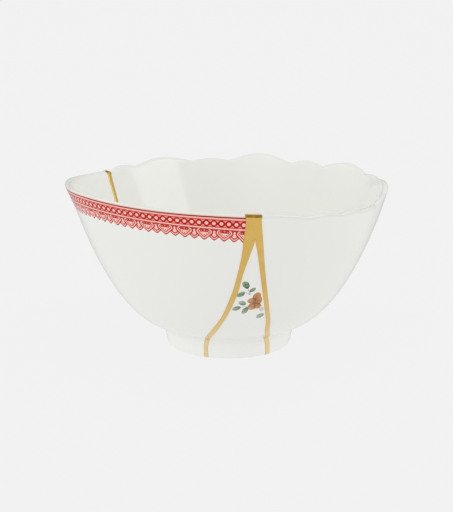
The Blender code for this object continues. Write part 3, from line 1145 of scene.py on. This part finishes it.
@dataclass(frozen=True)
class FlowerSpray:
    """A small spray: a rust-red flower of rounded petals among green leaves on thin stems."""

    centre: Pair = (0.1, 41.9)
    soft: float = 0.16
    strokes: tuple[Stroke, ...] = (
        Stroke((-3.1, 7.7), 118.0, 4.2, 2.7, PALE_GREEN, DEEP_GREEN, 0.95),
        Stroke((-2.3, 5.85), 42.0, 3.0, 1.7, PALE_GREEN, DEEP_GREEN),
        Stroke((-4.25, 5.5), 212.0, 3.4, 2.3, PALE_GREEN, DEEP_GREEN),
        Stroke((-3.2, -1.0), 150.0, 3.4, 2.2, GREY_GREEN, DEEP_GREEN, 0.85),
        Stroke((-5.1, -2.3), 206.0, 3.7, 2.4, GREY_GREEN, DEEP_GREEN, 0.88),
        Stroke((-2.4, -2.5), 250.0, 4.2, 2.3, GREY_GREEN, DEEP_GREEN, 0.9),
        Stroke((3.2, -2.8), 285.0, 2.7, 1.9, GREY_GREEN, GREY_GREEN, 0.5),
        Stroke((4.7, -6.9), 225.0, 3.6, 2.5, GREY_GREEN, PALE_GREEN, 0.88),
        Stroke((0.5, 0.6), 82.0, 4.9, 3.4, RUST, DARK_RUST, 0.97),
        Stroke((0.9, -1.9), 70.0, 5.0, 2.6, RUST, DARK_RUST, 0.95),
        Stroke((0.8, 0.75), 172.0, 3.6, 2.9, RUST, DARK_RUST, 0.93),
        Stroke((0.9, -0.2), 238.0, 4.5, 3.7, RUST, DARK_RUST, 0.97),
        Stroke((0.6, -0.6), 305.0, 3.4, 3.0, RUST, DARK_RUST, 0.95),
    )
    stems: tuple[tuple[Pair, Pair], ...] = (
        ((-2.1, 4.4), (-5.7, 6.7)),
        ((-2.1, 4.4), (-3.1, 7.9)),
        ((-2.1, 4.4), (-2.2, 6.0)),
        ((-1.9, -2.0), (-5.3, -2.4)),
        ((2.7, -0.9), (3.4, -2.1)),
    )
    stem_width: float = 0.22
    stem_share: float = 0.65
    belly: float = 0.6
    edge_width: float = 0.32
    edge_fade: float = 0.5
    edge_dark: float = 0.3
    root_dark: float = 1.1
    tip_dark: float = -0.1
    shake: Cloud = Cloud(1.6, -0.25, 0.25)
    wash: Cloud = Cloud(1.1, 0.82, 1.22, detail=3.0)
    mottle: Cloud = Cloud(0.8, -1.15, 1.05)

    def stroke(self, x: Value, y: Value, stroke: Stroke) -> tuple[Value, Value]:
        """Draw one stroke.

        With s along it from 0 at the root to 1 at the tip, it is as wide as its width times
        4 s (1 - s) to the power in belly.

        Args:
            x: The place across, from the flower's centre.
            y: The place up, from the flower's centre.
            stroke: The stroke.

        Returns:
            Where the stroke is, from 0 to 1, and how dark it is before the brush's own unevenness.
        """
        cos, sin = math.cos(math.radians(stroke.angle)), math.sin(math.radians(stroke.angle))
        away = stroke.root[0] * cos + stroke.root[1] * sin
        aside = stroke.root[1] * cos - stroke.root[0] * sin
        s = (x * cos + y * sin - away) / stroke.length
        side = abs(y * cos - x * sin - aside)
        room = (s * (1.0 - s) * 4.0).most(0.0) ** self.belly * (stroke.width / 2)
        mask = side.inside(room, self.soft) * s.math("GREATER_THAN", 0.0) * s.math("LESS_THAN", 1.0)
        edge = 1.0 - side.inside(room - self.edge_width, self.edge_fade)
        return mask, (1.0 - s) * self.root_dark + edge * self.edge_dark + self.tip_dark

    def stem(self, x: Value, y: Value, start: Pair, end: Pair) -> Value:
        """Draw a straight stem as the points near the line between its ends."""
        run, rise = end[0] - start[0], end[1] - start[1]
        length = math.hypot(run, rise)
        run, rise = run / length, rise / length
        x, y = x - start[0], y - start[1]
        s = (x * run + y * rise).most(0.0).least(length)
        return (x - s * run).hypot(y - s * rise).inside(self.stem_width / 2, self.soft)

    def material(self, name: str, glaze: Glaze) -> bpy.types.Material:
        """Make the glaze with the flower in it."""
        paint = Paint(name)
        colour, bare = glaze.paint_body(paint)
        shake = paint.cloud(self.shake)
        x = paint.across - self.centre[0] + shake
        y = self.centre[1] - paint.down + shake
        outside = 1.0 - paint.down.inside(0.0, self.soft)
        wash, mottle = paint.cloud(self.wash), paint.cloud(self.mottle)
        for start, end in self.stems:
            stem = self.stem(x, y, start, end) * outside
            colour = paint.mix(stem * self.stem_share, colour, DEEP_GREEN)
        for each in self.strokes:
            mask, dark = self.stroke(x, y, each)
            dark = (dark + mottle).math("ADD", 0.0, clamp=True)
            ink = paint.mix(dark, each.light, each.dark)
            strength = (mask * wash).math("MULTIPLY", each.strength, clamp=True) * outside
            colour = paint.mix(strength, colour, ink)
        return glaze.finish(paint, colour, bare)


@dataclass(frozen=True)
class SeamGold:
    """Gold powder brushed over the joint: satin, faintly streaked along it and pitted.

    Its map holds how far a point is inside the gold's edge, and how far it is along the seam
    from the top of the lip, where a dark reflection is painted on just below the top. On the inner
    skin, where the gold is painted darker as shade, that distance is negative. Painted light
    makes it paler low down, and painted shade darkens it along its edges.
    """

    deep: Triple = (0.70, 0.435, 0.097)
    light: Triple = (0.79, 0.545, 0.17)
    light_size: float = 4.0
    # Painted light: the gold is painted paler low down.
    pale: Tint = Tint((0.91, 0.72, 0.39), 22.0, 32.0, 0.85)
    # Painted shade: the gold on the inner skin is painted darker.
    inner_shade: Tint = Tint((0.50, 0.33, 0.083), -1.0, 0.8, 0.9)
    # Painted shade: the gold is painted darker along its edges.
    edge: Tint = Tint((0.58, 0.36, 0.09), 0.16, 0.22, 0.6)
    # Dark brown for the real pits, and for a painted dark reflection on the gold over the lip.
    pits_and_lip_reflection: Triple = (0.22, 0.12, 0.013)
    rubbed: Pair = (0.6, 1.85)
    rubbed_fade: Pair = (0.2, 0.3)
    rubbed_wobble: Cloud = Cloud(0.8, -0.25, 0.25)
    rubbed_share: float = 0.95
    pit_size: float = 0.7
    pit_above: float = 0.74
    pit_share: float = 0.3
    pit_depth: float = 0.8
    pit_roughness: float = 0.2
    roughness: Cloud = Cloud(2.2, 0.25, 0.41)
    streak_size: float = 0.5
    streak_stretch: Triple = (1.0, 1.0, 0.12)
    streak_depth: float = 0.05
    powder_size: float = 0.16
    powder_depth: float = 0.012

    def material(self, name: str) -> bpy.types.Material:
        """Make the gold."""
        paint = Paint(name)
        colour = paint.mix(paint.noise(self.light_size, detail=3.0), self.deep, self.light)
        # Painted light makes the gold paler low down.
        colour = paint.tinted(colour, self.pale, paint.part(paint.object_place, "Z") / MM)
        # Painted shade darkens the gold on the inner skin.
        colour = paint.tinted(colour, self.inner_shade, paint.down)
        # Painted shade darkens the gold along its edges.
        colour = paint.tinted(colour, self.edge, paint.across)
        pits = paint.noise(self.pit_size, detail=1.0).math("GREATER_THAN", self.pit_above)
        # A painted dark reflection lies on the gold just below the top of the lip; the pits are
        # real.
        place = abs(paint.down) + paint.cloud(self.rubbed_wobble)
        start, end = (place.inside(*limit) for limit in zip(self.rubbed, self.rubbed_fade))
        pits_and_lip_reflection = (pits * self.pit_share).most((end - start) * self.rubbed_share)
        colour = paint.mix(pits_and_lip_reflection, colour, self.pits_and_lip_reflection)
        streaks = paint.noise(self.streak_size, stretch=self.streak_stretch)
        grain = paint.noise(self.powder_size) - pits * self.pit_depth
        rough = paint.cloud(self.roughness) + pits * self.pit_roughness
        brushed = paint.bump(streaks, self.streak_depth)
        powder = paint.bump(grain, self.powder_depth, brushed)
        return paint.shade(Base_Color=colour, Roughness=rough, Metallic=1.0, Normal=powder)


@dataclass
class Sherd:
    """One porcelain sherd: the lattice between two seam edges, from the lip to the pool."""

    node: str
    slot: str
    low: Array
    high: Array
    fractions: Array
    first_row: int = 0
    map_middle: float | None = None
    map_level: int = 16
    map_gap: float = 0.5

    def surface_map(self, wall: Wall, rows: Rows, azimuth: Array) -> Array:
        """Map the outer skin: how far along the rim, and how far down the skin.

        Along the rim the distance is summed from the last line back, so that 0 is at the gold,
        in the row that is one part in map_level down the wall. With a middle azimuth it is
        instead the arc from that azimuth at the point's own radius.

        Args:
            wall: The wall.
            rows: The rows of the lattice.
            azimuth: The azimuth of every point.

        Returns:
            Two numbers for every point.
        """
        down = wall.below_rim(rows, azimuth)
        radius = wall.skins(rows, azimuth)[0][..., 0]
        if self.map_middle is not None:
            along = radius * np.radians(azimuth - self.map_middle)
        else:
            level = rows.wall_count // self.map_level
            between = (radius[level, 1:] + radius[level, :-1]) / 2
            steps = np.diff(np.radians(azimuth[level])) * between
            along = np.concatenate([[0.0], np.cumsum(steps)])
            along = np.repeat((along - along[-1])[None, :], azimuth.shape[0], axis=0)
        return np.stack([along, down], axis=-1)

    def build(self, wall: Wall, rows: Rows) -> bpy.types.Object:
        """Make the sherd's object. Its inner skin has negative distances down from the rim."""
        azimuth = lines_between(self.low, self.high, self.fractions)
        outer, inner = wall.skins(rows, azimuth)
        outer_map = self.surface_map(wall, rows, azimuth)
        filled = np.ones((len(rows.station) - 1, len(self.fractions) - 1), bool)
        filled[: self.first_row] = False
        patch = Patch(
            name=self.node.replace("_sherd", "_glazed_sherd"),
            outer=outer,
            inner=inner,
            azimuth=azimuth,
            filled=filled,
            outer_map=outer_map,
            inner_map=outer_map * INNER_SKIN - (0.0, self.map_gap),
        )
        return patch.build()


@dataclass(frozen=True)
class Band:
    """A stretch of the gold's lattice: its two edges, its lines as fractions, and if it is gold."""

    low: Array
    high: Array
    fractions: Array
    gold: bool


@dataclass
class GoldSeams:
    """The gold: a forked front seam and a back seam that meet in a pool on the floor."""

    wall: Wall
    rows: Rows
    name: str = "raised_gold_seams"
    seam_lines: int = 12
    fork_lines: int = 3
    gap_lines: int = 26
    pool_rows: int = 7
    proud: float = 0.3
    shoulder: float = 0.75

    def pool(self) -> Rows:
        """Continue the rows over the pool, from its edge to the middle of the bowl."""
        radii = np.linspace(self.wall.pool_radius, 0.0, self.pool_rows + 1)[1:]
        under = np.stack([radii, np.full_like(radii, self.wall.recess_height)], axis=1)
        above = np.stack([radii, self.wall.floor(radii)], axis=1)
        return replace(
            self.rows,
            station=np.concatenate([self.rows.station, np.zeros_like(radii)]),
            outer=np.concatenate([self.rows.outer, under]),
            inner=np.concatenate([self.rows.inner, above]),
        )

    def edges(self, rows: Rows) -> list[tuple[Array, Array]]:
        """Give the edges of the seams, kept over the pool as they are where it begins."""
        pairs = seam_edges(self.wall, rows)
        last = len(self.rows.station) - 1
        for pair in pairs:
            for edge in pair:
                edge[last:] = edge[last]
        return pairs

    def even(self, lines: int) -> Array:
        """Space lines evenly from one edge of a band up to the next band."""
        return np.linspace(0.0, 1.0, lines + 1)[:-1]

    def eased(self, lines: int) -> Array:
        """Space lines closer near both edges of a band, as (1 - cos) / 2, up to the next."""
        return (1 - np.cos(math.pi * self.even(lines))) / 2

    def thick(self, away: Array) -> Array:
        """Give how far the gold stands proud a distance from its edge, a quarter of a circle."""
        x = np.clip(away / self.shoulder, 0.0, 1.0)
        return self.proud * np.sqrt(1 - (1 - x) ** 2)

    def build(self) -> bpy.types.Object:
        """Make the gold's object."""
        rows = self.pool()
        (left_low, left_high), (right_low, right_high), (back_low, back_high) = self.edges(rows)
        fork = (left_high + right_low) / 2
        tip = int(np.argmax(right_low > left_high))
        seam, gap = self.eased(self.seam_lines), self.even(self.gap_lines)
        bands = [
            Band(left_low, np.minimum(left_high, fork), seam, True),
            Band(left_high, right_low, self.even(self.fork_lines), False),
            Band(np.maximum(right_low, fork), right_high, seam, True),
            Band(right_high, back_low + FULL_TURN, gap, False),
            Band(back_low + FULL_TURN, back_high + FULL_TURN, seam, True),
            Band(back_high + FULL_TURN, left_low + FULL_TURN, gap, False),
        ]
        azimuth = [lines_between(band.low, band.high, band.fractions) for band in bands]
        azimuth = np.concatenate(azimuth, axis=1)
        gold = np.concatenate([np.full(len(band.fractions), band.gold) for band in bands])
        filled = np.repeat(gold[None, :], len(rows.station) - 1, axis=0)
        filled[: tip - 1, self.seam_lines : self.seam_lines + self.fork_lines] = True
        filled[-self.pool_rows :] = True
        outer, inner = self.wall.skins(rows, azimuth)
        away = self.distance_in(rows, azimuth, bands, outer[..., 0], tip)
        outer, inner = self.raised(outer, inner, self.thick(away))
        surface = np.stack([away, distance_along(outer)], axis=-1)
        patch = Patch(
            name=self.name,
            outer=outer,
            inner=inner,
            azimuth=azimuth,
            filled=filled,
            outer_map=surface,
            inner_map=surface * INNER_SKIN,
            closed=True,
        )
        return patch.build()

    def distance_in(
        self, rows: Rows, azimuth: Array, bands: list[Band], radius: Array, tip: int
    ) -> Array:
        """Give how far each point lies inside the gold's edge.

        On a seam that is the arc to the nearer edge. On the stem above the fork it is the arc
        to the nearer outer edge, or the way to the fork if that is shorter. In the pool the
        way to the pool's edge is added to what the seam has there.

        Args:
            rows: The rows of the lattice.
            azimuth: The azimuth of every point.
            bands: The bands of lines, the left seam first and the right seam third.
            radius: The outer skin's radius at every point.
            tip: The first row in which the fork is open.

        Returns:
            A distance for every point, 0 outside the gold.
        """
        starts = np.cumsum([len(band.fractions) for band in bands])[:-1]
        away = []
        for band, part in zip(bands, np.split(azimuth, starts, axis=1)):
            nearer = np.minimum(part - band.low[:, None], band.high[:, None] - part)
            away.append(np.maximum(nearer, 0.0) if band.gold else np.zeros_like(part))
        away = np.concatenate(away, axis=1)
        left, _, right = bands[:3]
        stem = slice(0, 2 * self.seam_lines + self.fork_lines)
        nearer = np.minimum(azimuth - left.low[:, None], right.high[:, None] - azimuth)
        away[:tip, stem] = nearer[:tip, stem]
        away = np.radians(away) * radius
        middle = azimuth[:tip, stem] - ((left.high + right.low) / 2)[:tip, None]
        sideways = np.radians(middle) * radius[:tip, stem]
        to_fork = np.hypot(sideways, (rows.station[:tip] - rows.station[tip])[:, None])
        away[:tip, stem] = np.minimum(away[:tip, stem], to_fork)
        last = len(self.rows.station) - 1
        inward = self.wall.pool_radius - radius[last:]
        away[last:] = away[last] * radius[last:] / self.wall.pool_radius + inward
        return away

    def raised(self, outer: Array, inner: Array, proud: Array) -> tuple[Array, Array]:
        """Move both skins out along their normals.

        The two skins make one path in (radius, height), up the inner one and down the outer.
        A normal is that path's direction turned a quarter, from the steps on both sides.
        Nothing goes below the plane that the bowl stands on.

        Args:
            outer: The outer skin, as radius and height.
            inner: The inner skin.
            proud: How far to move each point.

        Returns:
            The two moved skins.
        """
        loop = np.concatenate([inner[:0:-1], outer])
        moved = np.concatenate([proud[:0:-1], proud])
        ahead = np.gradient(loop, axis=0)
        ahead = ahead / np.maximum(np.linalg.norm(ahead, axis=-1, keepdims=True), TINY)
        normal = np.stack([-ahead[..., 1], ahead[..., 0]], axis=-1)
        loop = loop + normal * moved[..., None]
        loop[..., 1] = np.maximum(loop[..., 1], 0.0)
        count = len(outer)
        return loop[count - 1 :], loop[count - 1 :: -1]


class Reach(Enum):
    """What a light shows on: only the gloss of a finish, or only its body."""

    GLOSS = "gloss"
    BODY = "body"


@dataclass(frozen=True)
class Softbox:
    """A rectangular studio light, aimed at the bowl."""

    name: str
    place: Triple
    size: Pair
    power: float
    reach: Reach
    aim: Triple = (0.0, 0.0, 0.04)

    def build(self) -> None:
        """Hang the light."""
        data = bpy.data.lights.new(self.name, "AREA")
        data.shape = "RECTANGLE"
        data.size, data.size_y = self.size
        data.energy = self.power
        light = added(self.name, data)
        light.location = self.place
        ahead = Vector(self.aim) - Vector(self.place)
        light.rotation_euler = ahead.to_track_quat("-Z", "Y").to_euler()
        light.visible_diffuse = self.reach is not Reach.GLOSS
        light.visible_glossy = self.reach is not Reach.BODY


@dataclass(frozen=True)
class Studio:
    """A plain pale floor in even white light, with softboxes, and the camera."""

    camera_place: Triple = (-0.001, -0.5144, 0.1684)
    camera_tilt: float = 14.21
    focal_length: float = 85.36
    floor_radius: float = 60.0
    floor_sides: int = 96
    floor_colour: Triple = (0.04, 0.04, 0.04)
    floor_roughness: float = 0.9
    floor_light: Triple = (1.0, 1.0, 1.0)
    floor_glow: float = 0.845
    surround: Triple = (0.77, 0.77, 0.77)
    overhead: Triple = (1.04, 1.04, 1.04)
    overhead_fade: Pair = (0.25, 0.9)
    gleam: Triple = (0.88, 0.88, 0.88)
    gleam_overhead: Triple = (1.03, 1.03, 1.03)
    card: Triple = (0.72, 0.72, 0.72)
    card_middle: Triple = (0.45, 0.45, 0.45)
    card_middle_height: Pair = (0.2, 0.4)
    card_height: Pair = (0.42, 0.6)
    card_side: Pair = (0.6, 0.85)
    window: Triple = (1.8, 1.8, 1.8)
    window_height: Pair = (0.0, 0.25)
    window_middle: float = -0.5
    window_side: Pair = (0.05, 0.7)
    window_away: Pair = (0.3, 0.8)
    softboxes: tuple[Softbox, ...] = (
        Softbox("right_panel", (1.13, -0.53, 0.66), (0.96, 1.25), 7.0, Reach.GLOSS),
        Softbox("right_softbox", (1.2, -0.3, 0.3), (1.0, 1.0), 1.3, Reach.BODY),
        Softbox("high_softbox", (0.9, -0.2, 0.95), (1.0, 1.0), 0.6, Reach.BODY),
        Softbox("left_softbox", (-1.2, -0.6, 0.35), (1.0, 1.0), 2.5, Reach.BODY),
    )

    def build(self) -> None:
        """Set up the floor, the light and the camera."""
        self.build_floor()
        for softbox in self.softboxes:
            softbox.build()
        self.build_surround()
        bpy.context.scene.view_settings.view_transform = "Standard"
        data = bpy.data.cameras.new("studio_camera")
        data.lens = self.focal_length
        camera = added("studio_camera", data)
        camera.location = self.camera_place
        camera.rotation_euler = (math.radians(90.0 - self.camera_tilt), 0.0, 0.0)
        bpy.context.scene.camera = camera

    def build_surround(self) -> None:
        """Light everything evenly from all sides, and more from overhead.

        The light fades from the surround's to the overhead's as the sine of the direction's
        elevation goes from one limit to the other. Glossy reflections also meet a grey card
        that stands behind the bowl, as high above the horizon as it is deep below, with soft
        edges and a darker middle, and a bright window low behind it at the left. The card
        draws the thin dark outline that glazed ware has in a white studio.
        """
        world = bpy.data.worlds.new("studio_surround")
        world.use_nodes = True
        nodes = Nodes(world.node_tree)
        direction = nodes.node("ShaderNodeTexCoord").outputs["Generated"]
        up, away = nodes.part(direction, "Z"), nodes.part(direction, "Y")
        high = 1.0 - self.fading(up, self.overhead_fade)
        sky = nodes.mix(high, self.surround, self.overhead)
        gleam = nodes.mix(high, self.gleam, self.gleam_overhead)
        card = self.fading(abs(up), self.card_height) * (1.0 - self.fading(away, self.card_side))
        middle = self.fading(abs(up), self.card_middle_height)
        gleam = nodes.mix(card, gleam, nodes.mix(middle, self.card, self.card_middle))
        beside = abs(nodes.part(direction, "X") - self.window_middle)
        window = self.fading(beside, self.window_side) * self.fading(away, self.window_away)
        window = window * (1.0 - self.fading(up, self.window_height))
        gleam = nodes.mix(window, gleam, self.window)
        glossy = nodes.node("ShaderNodeLightPath").outputs["Is Glossy Ray"]
        sky = nodes.mix(glossy, sky, gleam)
        nodes.tree.links.new(sky, world.node_tree.nodes["Background"].inputs["Color"])
        bpy.context.scene.world = world

    def fading(self, value: Value, limits: Pair) -> Value:
        """Give 1 below two limits and 0 above them, in proportion between."""
        return value.inside(sum(limits) / 2, limits[1] - limits[0])

    def build_floor(self) -> None:
        """Lay a round floor of pale paper lit from below, wide enough to fill the picture."""
        turn = np.radians(np.arange(self.floor_sides) * FULL_TURN / self.floor_sides)
        flat = np.zeros_like(turn)
        edge = np.stack([np.cos(turn), np.sin(turn), flat], axis=1) * self.floor_radius
        mesh = bpy.data.meshes.new("floor")
        mesh.from_pydata(edge.tolist(), [], [list(range(self.floor_sides))])
        floor = added("floor", mesh)
        material = bpy.data.materials.new("floor_paper")
        material.use_nodes = True
        shader = material.node_tree.nodes["Principled BSDF"]
        settings = {
            "Base Color": opaque(self.floor_colour),
            "Roughness": self.floor_roughness,
            "Specular IOR Level": 0.0,
            "Emission Color": opaque(self.floor_light),
            "Emission Strength": self.floor_glow,
        }
        for name, setting in settings.items():
            shader.inputs[name].default_value = setting
        mesh.materials.append(material)
        floor.visible_glossy = False


def dress(piece: bpy.types.Object, node: str, slot: str, material: bpy.types.Material) -> None:
    """Put a piece in its node's place, with its material, and report it.

    Args:
        piece: The finished piece.
        node: The node that it stands for.
        slot: The material slot of the record that it takes its finish from; not used.
        material: What it is made of.
    """
    piece.data.materials.append(material)
    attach(piece, "root")
    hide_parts(node)
    size = [round(side / MM, 1) for side in piece.dimensions]
    log.info("%s: %d faces, %s mm", piece.name, len(piece.data.polygons), size)


@dataclass
class Bowl:
    """The mended bowl: its wall, the three sherds of it and the gold."""

    wall: Wall = field(default_factory=Wall)
    glaze: Glaze = field(default_factory=Glaze)
    lace_glaze: Glaze = Glaze(white=(0.872, 0.876, 0.828), cool=(0.857, 0.867, 0.832), gloss=0.15)
    column_step: float = 1.15
    flower_lines: int = 24
    flower_middle: float = 10.6

    def columns(self, low: float, high: float) -> Array:
        """Space column lines evenly across a stretch of the rim, as fractions of it."""
        arc = math.radians(high - low) * self.wall.top[0]
        return np.linspace(0.0, 1.0, math.ceil(arc / self.column_step) + 1)

    def scallop_columns(self, low: float, high: float) -> Array:
        """Space column lines so that one meets every valley of the scalloped rim."""
        stops = [low] + [s[0] for s in self.wall.rim.scallops if low < s[0] < high] + [high]
        spans = zip(stops[:-1], stops[1:])
        lines = [start + self.columns(start, end)[:-1] * (end - start) for start, end in spans]
        return (np.concatenate([*lines, [high]]) - low) / (high - low)

    def build(self) -> None:
        """Build and dress the sherds and the gold."""
        rows = self.wall.rows()
        edges = seam_edges(self.wall, rows)
        (left_low, left_high), (right_low, right_high), (back_low, back_high) = edges
        back_end = back_low + FULL_TURN
        lines = self.columns(back_high[0], left_low[0])
        lace = Sherd("lace_rim_sherd", "lace_glaze", back_high, left_low, lines)
        lines = self.scallop_columns(right_high[0], back_end[0])
        scalloped = Sherd("scalloped_rim_sherd", "scalloped_glaze", right_high, back_end, lines)
        lines = np.linspace(0.0, 1.0, self.flower_lines + 1)
        tip = int(np.argmax(right_low > left_high)) - 1
        flower = Sherd(
            "flower_sherd", "flower_glaze", left_high, right_low, lines, tip, self.flower_middle
        )
        materials = (
            LaceBorder().material("glaze_with_red_lace", self.lace_glaze),
            self.glaze.material("plain_white_glaze"),
            FlowerSpray().material("glaze_with_flower", self.glaze),
        )
        for sherd, material in zip((lace, scalloped, flower), materials):
            dress(sherd.build(self.wall, rows), sherd.node, sherd.slot, material)
        gold = GoldSeams(self.wall, rows).build()
        dress(gold, "gold_seams", "seam_gold", SeamGold().material("brushed_seam_gold"))


def main() -> None:
    """Build the bowl and its studio."""
    logging.basicConfig(level=logging.INFO, format="%(message)s")
    Bowl().build()
    Studio().build()


if __name__ == "__main__":
    main()
